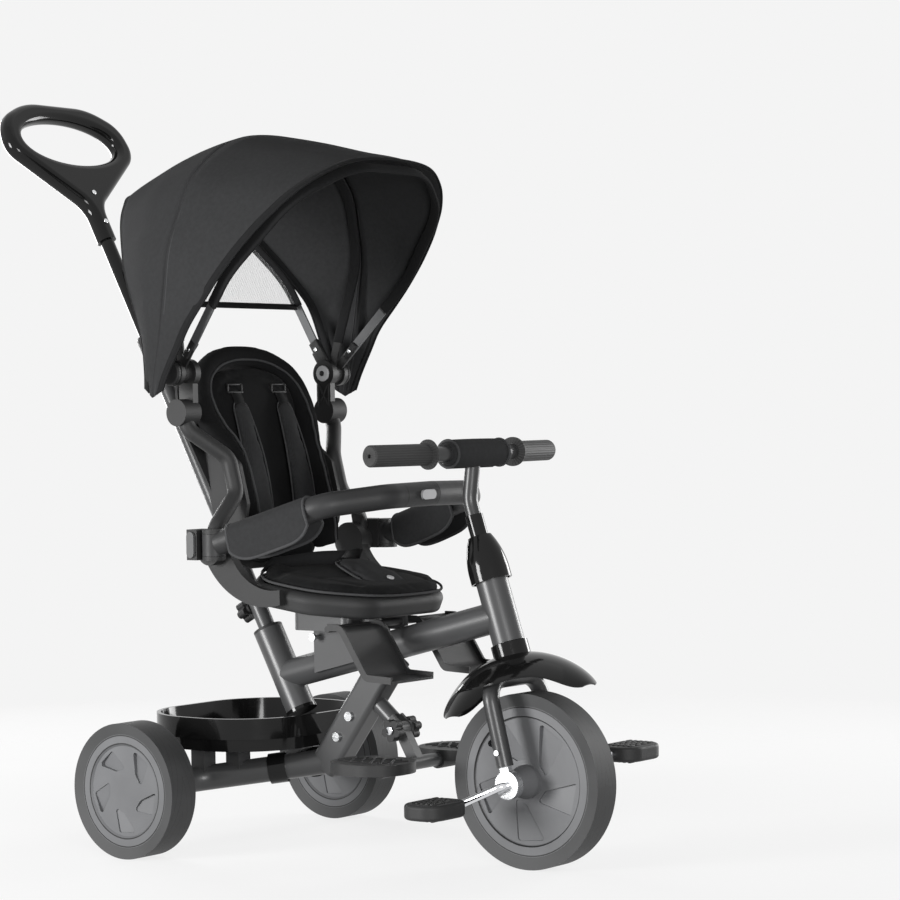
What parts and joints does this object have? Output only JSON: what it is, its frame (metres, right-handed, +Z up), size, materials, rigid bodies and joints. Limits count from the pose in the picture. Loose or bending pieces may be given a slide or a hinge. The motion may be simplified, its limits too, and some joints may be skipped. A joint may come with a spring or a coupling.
{
  "type": "children's tricycle",
  "caption": "Children's tricycle with steering push handle, reclining padded seat, safety bar, folding canopy, rear basket and folding footrests",
  "frame": {"origin": "on the ground under the middle of the outline", "axes": "+X forward along travel, +Y to the rider's left, +Z up"},
  "size_m": [1.0832, 0.522, 1.158],
  "materials": {
    "frame_paint": "satin black powder coat",
    "zinc": "bright zinc plate",
    "chrome": "bright chrome",
    "gloss_black": "gloss black moulding",
    "matte_black": "fine-grained black moulding",
    "wheel_grey": "dark grey moulding",
    "tyre_foam": "dark foam rubber",
    "grip_rubber": "ribbed soft rubber",
    "woven_black": "black woven cloth",
    "mesh_white": "open white net",
    "bar_skin": "grained foam skin",
    "button_grey": "light grey moulding",
    "hoop_steel": "grey flat steel"
  },
  "bodies": {
    "frame": {"head_tube": "frame_paint", "main_tube": "frame_paint", "handle_socket": "frame_paint", "strut": "frame_paint", "wishbone_tube": "frame_paint", "frame_bushes": "matte_black", "frame_caps": "gloss_black", "frame_fasteners": "zinc", "frame_brackets": "frame_paint", "basket": "gloss_black"},
    "steering": {"fork": "frame_paint", "fork_dropouts": "zinc", "mudguard": "gloss_black", "stem_cover": "gloss_black", "handlebar": "frame_paint", "grips": "grip_rubber", "handlebar_pad": "woven_black"},
    "front_wheel": {"front_tyre": "tyre_foam", "front_wheel_disc": "wheel_grey", "crank": "chrome"},
    "pedal_left": {"pedal_left": "matte_black"},
    "pedal_right": {"pedal_right": "matte_black"},
    "rear_wheel_left": {"rear_tyre_left": "tyre_foam", "rear_disc_left": "wheel_grey"},
    "rear_wheel_right": {"rear_tyre_right": "tyre_foam", "rear_disc_right": "wheel_grey"},
    "push_lower": {"push_tube_lower": "frame_paint", "push_collar": "matte_black", "push_shaft": "chrome"},
    "push_upper": {"push_tube_upper": "gloss_black", "push_loop": "gloss_black"},
    "push_knob": {"push_knob": "matte_black"},
    "seat": {"seat_pan": "matte_black", "seat_plate": "frame_paint", "seat_pad": "woven_black", "crotch_pad": "woven_black", "recline_housings": "matte_black"},
    "backrest": {"back_shell": "matte_black", "back_arms": "frame_paint", "back_pad": "woven_black", "back_bolsters": "woven_black", "shoulder_pads": "woven_black", "canopy_rear_hoop": "matte_black", "canopy_mesh": "mesh_white", "canopy_rear_fabric": "woven_black"},
    "canopy_mid": {"canopy_mid_hoop": "hoop_steel", "canopy_front_fabric": "woven_black"},
    "canopy_front": {"canopy_front_hoop": "hoop_steel"},
    "bar_left": {"bar_half_left": "bar_skin", "bar_pad_left": "woven_black"},
    "bar_right": {"bar_half_right": "bar_skin", "bar_pad_right": "woven_black"},
    "bar_lock": {"bar_lock_button": "button_grey"},
    "bar_button_left": {"bar_button_left": "button_grey"},
    "bar_button_right": {"bar_button_right": "button_grey"},
    "leg_rest": {"leg_rest": "matte_black"},
    "footrest": {"footrest_link": "frame_paint", "foot_pads": "matte_black"},
    "footrest_knobs": {"footrest_knobs": "matte_black"}
  },
  "joints": [
    {"name": "steer", "type": "hinge", "parent": "frame", "child": "steering", "pos_m": [0.34567, 0, 0.411], "axis": [-0.309, 0, 0.9511], "range_deg": [-30, 30]},
    {"name": "front_wheel_spin", "type": "hinge", "parent": "steering", "child": "front_wheel", "pos_m": [0.4166, 0, 0.125], "axis": [0, 1, 0], "continuous": true},
    {"name": "pedal_left_spin", "type": "hinge", "parent": "front_wheel", "child": "pedal_left", "pos_m": [0.48055, 0, 0.15347], "axis": [0, 1, 0], "continuous": true},
    {"name": "pedal_right_spin", "type": "hinge", "parent": "front_wheel", "child": "pedal_right", "pos_m": [0.35265, 0, 0.09653], "axis": [0, 1, 0], "continuous": true},
    {"name": "rear_wheel_left_spin", "type": "hinge", "parent": "frame", "child": "rear_wheel_left", "pos_m": [-0.1424, 0, 0.1], "axis": [0, 1, 0], "continuous": true},
    {"name": "rear_wheel_right_spin", "type": "hinge", "parent": "frame", "child": "rear_wheel_right", "pos_m": [-0.1424, 0, 0.1], "axis": [0, 1, 0], "continuous": true},
    {"name": "push_steer", "type": "hinge", "parent": "frame", "child": "push_lower", "pos_m": [-0.08176, 0, 0.32], "axis": [-0.4756, 0, 0.8796], "range_deg": [-30, 30]},
    {"name": "push_telescope", "type": "slide", "parent": "push_lower", "child": "push_upper", "axis": [-0.4756, 0, 0.8796], "range_m": [-0.15, 0]},
    {"name": "push_knob_turn", "type": "hinge", "parent": "push_lower", "child": "push_knob", "pos_m": [-0.10364, 0, 0.36046], "axis": [-0.8796, 0, -0.4756], "continuous": true},
    {"name": "seat_lift", "type": "slide", "parent": "frame", "child": "seat", "axis": [0, 0, 1], "range_m": [0, 0.02]},
    {"name": "recline", "type": "hinge", "parent": "seat", "child": "backrest", "pos_m": [-0.0404, 0, 0.452], "axis": [0, -1, 0], "range_deg": [0, 10]},
    {"name": "canopy_mid_fold", "type": "hinge", "parent": "backrest", "child": "canopy_mid", "pos_m": [-0.0924, 0, 0.714], "axis": [0, -1, 0], "range_deg": [0, 18], "deforming": ["canopy_rear_fabric"]},
    {"name": "canopy_front_fold", "type": "hinge", "parent": "canopy_mid", "child": "canopy_front", "pos_m": [-0.0924, 0, 0.714], "axis": [0, -1, 0], "range_deg": [0, 18], "deforming": ["canopy_front_fabric"]},
    {"name": "bar_left_swing", "type": "hinge", "parent": "seat", "child": "bar_left", "pos_m": [-0.0084, 0.199, 0.462], "axis": [0, 0, 1], "range_deg": [0, 90]},
    {"name": "bar_right_swing", "type": "hinge", "parent": "seat", "child": "bar_right", "pos_m": [-0.0084, -0.199, 0.462], "axis": [0, 0, -1], "range_deg": [0, 90]},
    {"name": "bar_lock_press", "type": "slide", "parent": "bar_right", "child": "bar_lock", "axis": [-0.9981, 0.0613, 0], "range_m": [0, 0.003], "stiffness_N_per_m": 300},
    {"name": "bar_button_left_press", "type": "slide", "parent": "seat", "child": "bar_button_left", "axis": [0, -1, 0], "range_m": [0, 0.003], "stiffness_N_per_m": 300},
    {"name": "bar_button_right_press", "type": "slide", "parent": "seat", "child": "bar_button_right", "axis": [0, 1, 0], "range_m": [0, 0.003], "stiffness_N_per_m": 300},
    {"name": "leg_rest_fold", "type": "hinge", "parent": "seat", "child": "leg_rest", "pos_m": [0.1546, 0, 0.34], "axis": [0, 1, 0], "range_deg": [0, 50]},
    {"name": "footrest_fold", "type": "hinge", "parent": "frame", "child": "footrest", "pos_m": [0.1766, 0, 0.184], "axis": [0, 1, 0], "range_deg": [0, 75]},
    {"name": "footrest_knobs_turn", "type": "hinge", "parent": "frame", "child": "footrest_knobs", "pos_m": [0.1766, 0, 0.184], "axis": [0, 1, 0], "continuous": true}
  ],
  "couplings": [
    {"joint": "push_steer", "follows": "steer", "ratio": 1},
    {"joint": "canopy_front_fold", "follows": "canopy_mid_fold", "ratio": 1}
  ]
}
